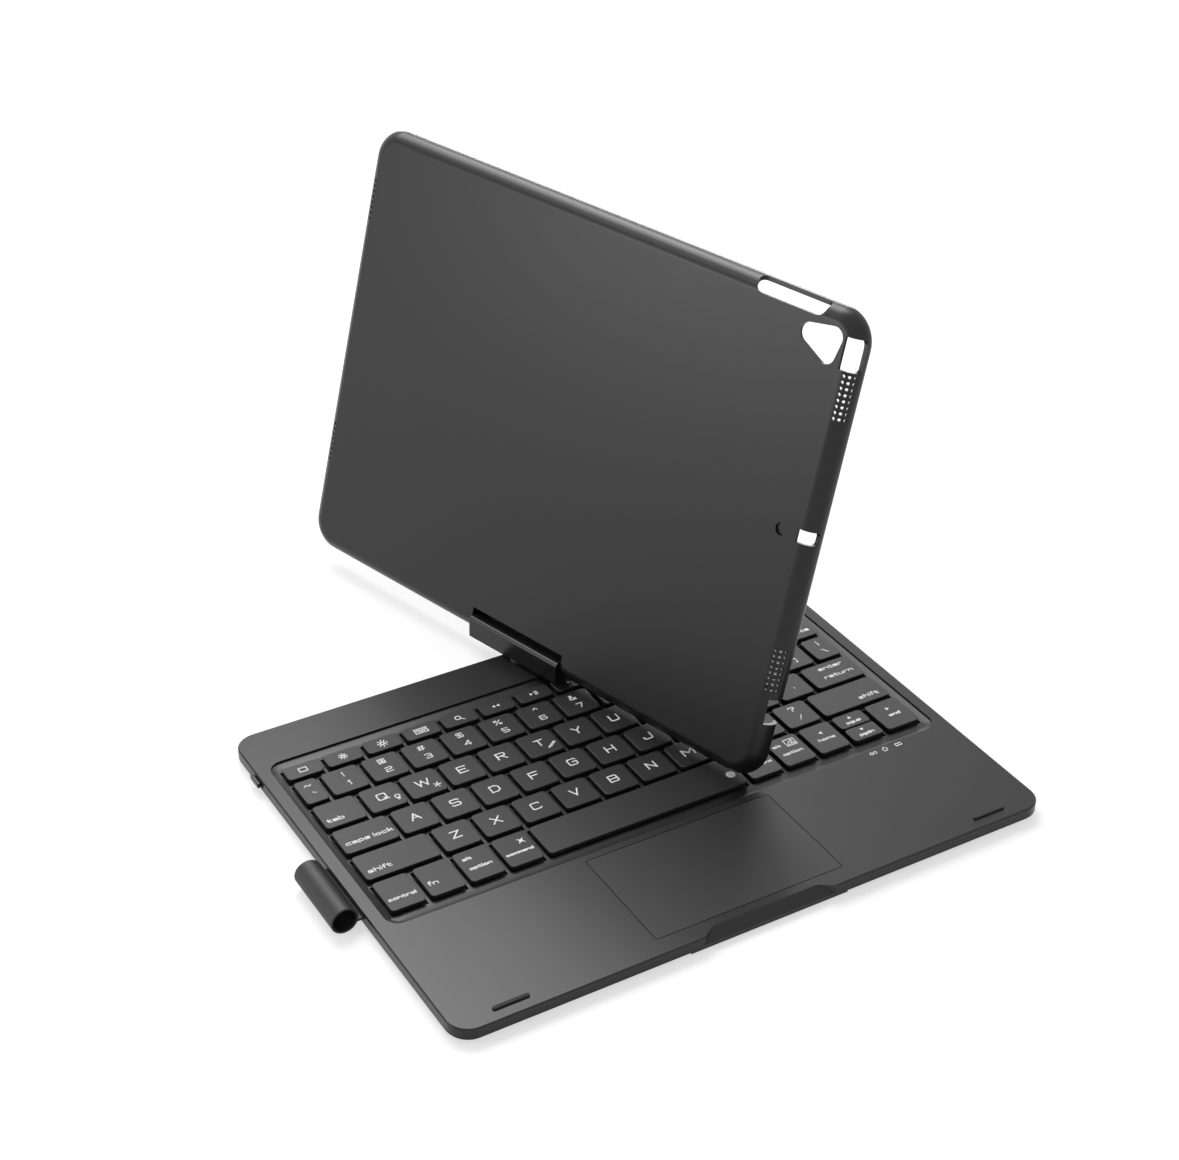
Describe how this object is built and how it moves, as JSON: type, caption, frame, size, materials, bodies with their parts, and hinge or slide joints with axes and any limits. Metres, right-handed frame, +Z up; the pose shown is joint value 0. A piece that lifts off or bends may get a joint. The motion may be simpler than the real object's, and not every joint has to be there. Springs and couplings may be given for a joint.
{
  "type": "tablet keyboard case",
  "caption": "Keyboard base with trackpad and stylus loop, joined by a swivel and tilt hinge to a tray that holds a tablet.",
  "frame": {"origin": "on the desk under the swivel axis, at the middle of the hinge block", "axes": "+Z up, +X to the typist's right, +Y away from the typist, at the rest pose with the tray swivelled and open"},
  "size_m": [0.2671, 0.3184, 0.19],
  "materials": {
    "case_shell": "fine satin, soft sheen",
    "key_plastic": "satin with white lettering",
    "rubber": "dull",
    "loop_rubber": "smooth, soft sheen",
    "spring_steel": "fine brushed",
    "screw_steel": "black oxide",
    "bearing_brass": "machined",
    "board_laminate": "solder mask",
    "battery_foil": "foil pouch",
    "clear_film": "clear film",
    "plate_aluminium": "rolled sheet",
    "lamp_plastic": "clear",
    "magnet_metal": "nickel plated"
  },
  "bodies": {
    "base": {"top_case": "case_shell", "bottom_cover": "case_shell", "key_backplate": "plate_aluminium", "key_membrane": "clear_film", "dome_sheet": "rubber", "backlight_guide": "clear_film", "batteries": "battery_foil", "main_board": "board_laminate", "switch_housing": "key_plastic", "trackpad_switch": "screw_steel", "trackpad_bracket": "spring_steel", "charge_port": "spring_steel", "indicator_windows": "lamp_plastic", "deck_bumpers": "rubber", "rubber_feet": "rubber", "desk_pad": "rubber", "base_screws": "screw_steel", "stylus_loop": "loop_rubber", "swivel_plate": "spring_steel", "swivel_bush": "bearing_brass", "swivel_washer": "spring_steel", "sleep_magnets": "magnet_metal"},
    "trackpad": {"trackpad_plate": "key_plastic", "trackpad_board": "board_laminate"},
    "power_slider": {"power_switch": "case_shell"},
    "swivel": {"hinge_block": "case_shell", "hinge_block_cover": "case_shell", "swivel_shaft": "spring_steel", "wave_washer": "spring_steel", "swivel_nut": "spring_steel", "friction_sleeves": "bearing_brass"},
    "tray": {"tray_shell": "case_shell", "hinge_cover_strips": "case_shell", "hinge_arms": "spring_steel", "tilt_pins": "spring_steel", "hinge_screws": "screw_steel"},
    "function_keys": {"function_keys": "key_plastic"},
    "number_keys": {"number_keys": "key_plastic"},
    "top_letter_keys": {"top_letter_keys": "key_plastic"},
    "home_letter_keys": {"home_letter_keys": "key_plastic"},
    "bottom_letter_keys": {"bottom_letter_keys": "key_plastic"},
    "key_grave": {"key_grave": "key_plastic"},
    "key_delete": {"key_delete": "key_plastic"},
    "key_tab": {"key_tab": "key_plastic"},
    "key_backslash": {"key_backslash": "key_plastic"},
    "key_caps_lock": {"key_caps_lock": "key_plastic"},
    "key_return": {"key_return": "key_plastic"},
    "key_shift_left": {"key_shift_left": "key_plastic"},
    "key_shift_right": {"key_shift_right": "key_plastic"},
    "key_control": {"key_control": "key_plastic"},
    "key_fn": {"key_fn": "key_plastic"},
    "key_alt_left": {"key_alt_left": "key_plastic"},
    "key_meta_left": {"key_meta_left": "key_plastic"},
    "key_space": {"key_space": "key_plastic"},
    "key_meta_right": {"key_meta_right": "key_plastic"},
    "key_alt_right": {"key_alt_right": "key_plastic"},
    "key_arrow_left": {"key_arrow_left": "key_plastic"},
    "key_arrow_up": {"key_arrow_up": "key_plastic"},
    "key_arrow_down": {"key_arrow_down": "key_plastic"},
    "key_arrow_right": {"key_arrow_right": "key_plastic"}
  },
  "joints": [
    {"name": "case_swivel", "type": "hinge", "parent": "base", "child": "swivel", "pos_m": [0, 0, 0], "axis": [0, 0, 1], "range_deg": [-106, 74]},
    {"name": "case_tilt", "type": "hinge", "parent": "swivel", "child": "tray", "pos_m": [0, 0, 0.0135], "axis": [0.2756, -0.9613, 0], "range_deg": [-75, 104]},
    {"name": "trackpad_press", "type": "hinge", "parent": "base", "child": "trackpad", "pos_m": [-0.0035, -0.1257, 0.0043], "axis": [1, 0, 0], "range_deg": [0, 0.5], "stiffness_Nm_per_rad": 5, "springref_deg": -0.52},
    {"name": "power_slide", "type": "slide", "parent": "base", "child": "power_slider", "axis": [0, -1, 0], "range_m": [0, 0.0025]},
    {"name": "key_function_group", "type": "slide", "parent": "base", "child": "function_keys", "axis": [0, 0, -1], "range_m": [0, 0.0014], "stiffness_N_per_m": 800, "springref_m": -0.0005},
    {"name": "key_number_group", "type": "slide", "parent": "base", "child": "number_keys", "axis": [0, 0, -1], "range_m": [0, 0.0014], "stiffness_N_per_m": 800, "springref_m": -0.0005},
    {"name": "key_top_letter_group", "type": "slide", "parent": "base", "child": "top_letter_keys", "axis": [0, 0, -1], "range_m": [0, 0.0014], "stiffness_N_per_m": 800, "springref_m": -0.0005},
    {"name": "key_home_letter_group", "type": "slide", "parent": "base", "child": "home_letter_keys", "axis": [0, 0, -1], "range_m": [0, 0.0014], "stiffness_N_per_m": 800, "springref_m": -0.0005},
    {"name": "key_bottom_letter_group", "type": "slide", "parent": "base", "child": "bottom_letter_keys", "axis": [0, 0, -1], "range_m": [0, 0.0014], "stiffness_N_per_m": 800, "springref_m": -0.0005},
    {"name": "key_grave", "type": "slide", "parent": "base", "child": "key_grave", "axis": [0, 0, -1], "range_m": [0, 0.0014], "stiffness_N_per_m": 400, "springref_m": -0.0005},
    {"name": "key_delete", "type": "slide", "parent": "base", "child": "key_delete", "axis": [0, 0, -1], "range_m": [0, 0.0014], "stiffness_N_per_m": 400, "springref_m": -0.0005},
    {"name": "key_tab", "type": "slide", "parent": "base", "child": "key_tab", "axis": [0, 0, -1], "range_m": [0, 0.0014], "stiffness_N_per_m": 400, "springref_m": -0.0005},
    {"name": "key_backslash", "type": "slide", "parent": "base", "child": "key_backslash", "axis": [0, 0, -1], "range_m": [0, 0.0014], "stiffness_N_per_m": 400, "springref_m": -0.0005},
    {"name": "key_caps_lock", "type": "slide", "parent": "base", "child": "key_caps_lock", "axis": [0, 0, -1], "range_m": [0, 0.0014], "stiffness_N_per_m": 400, "springref_m": -0.0005},
    {"name": "key_return", "type": "slide", "parent": "base", "child": "key_return", "axis": [0, 0, -1], "range_m": [0, 0.0014], "stiffness_N_per_m": 400, "springref_m": -0.0005},
    {"name": "key_shift_left", "type": "slide", "parent": "base", "child": "key_shift_left", "axis": [0, 0, -1], "range_m": [0, 0.0014], "stiffness_N_per_m": 400, "springref_m": -0.0005},
    {"name": "key_shift_right", "type": "slide", "parent": "base", "child": "key_shift_right", "axis": [0, 0, -1], "range_m": [0, 0.0014], "stiffness_N_per_m": 400, "springref_m": -0.0005},
    {"name": "key_control", "type": "slide", "parent": "base", "child": "key_control", "axis": [0, 0, -1], "range_m": [0, 0.0014], "stiffness_N_per_m": 400, "springref_m": -0.0005},
    {"name": "key_fn", "type": "slide", "parent": "base", "child": "key_fn", "axis": [0, 0, -1], "range_m": [0, 0.0014], "stiffness_N_per_m": 400, "springref_m": -0.0005},
    {"name": "key_alt_left", "type": "slide", "parent": "base", "child": "key_alt_left", "axis": [0, 0, -1], "range_m": [0, 0.0014], "stiffness_N_per_m": 400, "springref_m": -0.0005},
    {"name": "key_meta_left", "type": "slide", "parent": "base", "child": "key_meta_left", "axis": [0, 0, -1], "range_m": [0, 0.0014], "stiffness_N_per_m": 400, "springref_m": -0.0005},
    {"name": "key_space", "type": "slide", "parent": "base", "child": "key_space", "axis": [0, 0, -1], "range_m": [0, 0.0014], "stiffness_N_per_m": 400, "springref_m": -0.0005},
    {"name": "key_meta_right", "type": "slide", "parent": "base", "child": "key_meta_right", "axis": [0, 0, -1], "range_m": [0, 0.0014], "stiffness_N_per_m": 400, "springref_m": -0.0005},
    {"name": "key_alt_right", "type": "slide", "parent": "base", "child": "key_alt_right", "axis": [0, 0, -1], "range_m": [0, 0.0014], "stiffness_N_per_m": 400, "springref_m": -0.0005},
    {"name": "key_arrow_left", "type": "slide", "parent": "base", "child": "key_arrow_left", "axis": [0, 0, -1], "range_m": [0, 0.0014], "stiffness_N_per_m": 400, "springref_m": -0.0005},
    {"name": "key_arrow_up", "type": "slide", "parent": "base", "child": "key_arrow_up", "axis": [0, 0, -1], "range_m": [0, 0.0014], "stiffness_N_per_m": 400, "springref_m": -0.0005},
    {"name": "key_arrow_down", "type": "slide", "parent": "base", "child": "key_arrow_down", "axis": [0, 0, -1], "range_m": [0, 0.0014], "stiffness_N_per_m": 400, "springref_m": -0.0005},
    {"name": "key_arrow_right", "type": "slide", "parent": "base", "child": "key_arrow_right", "axis": [0, 0, -1], "range_m": [0, 0.0014], "stiffness_N_per_m": 400, "springref_m": -0.0005}
  ]
}
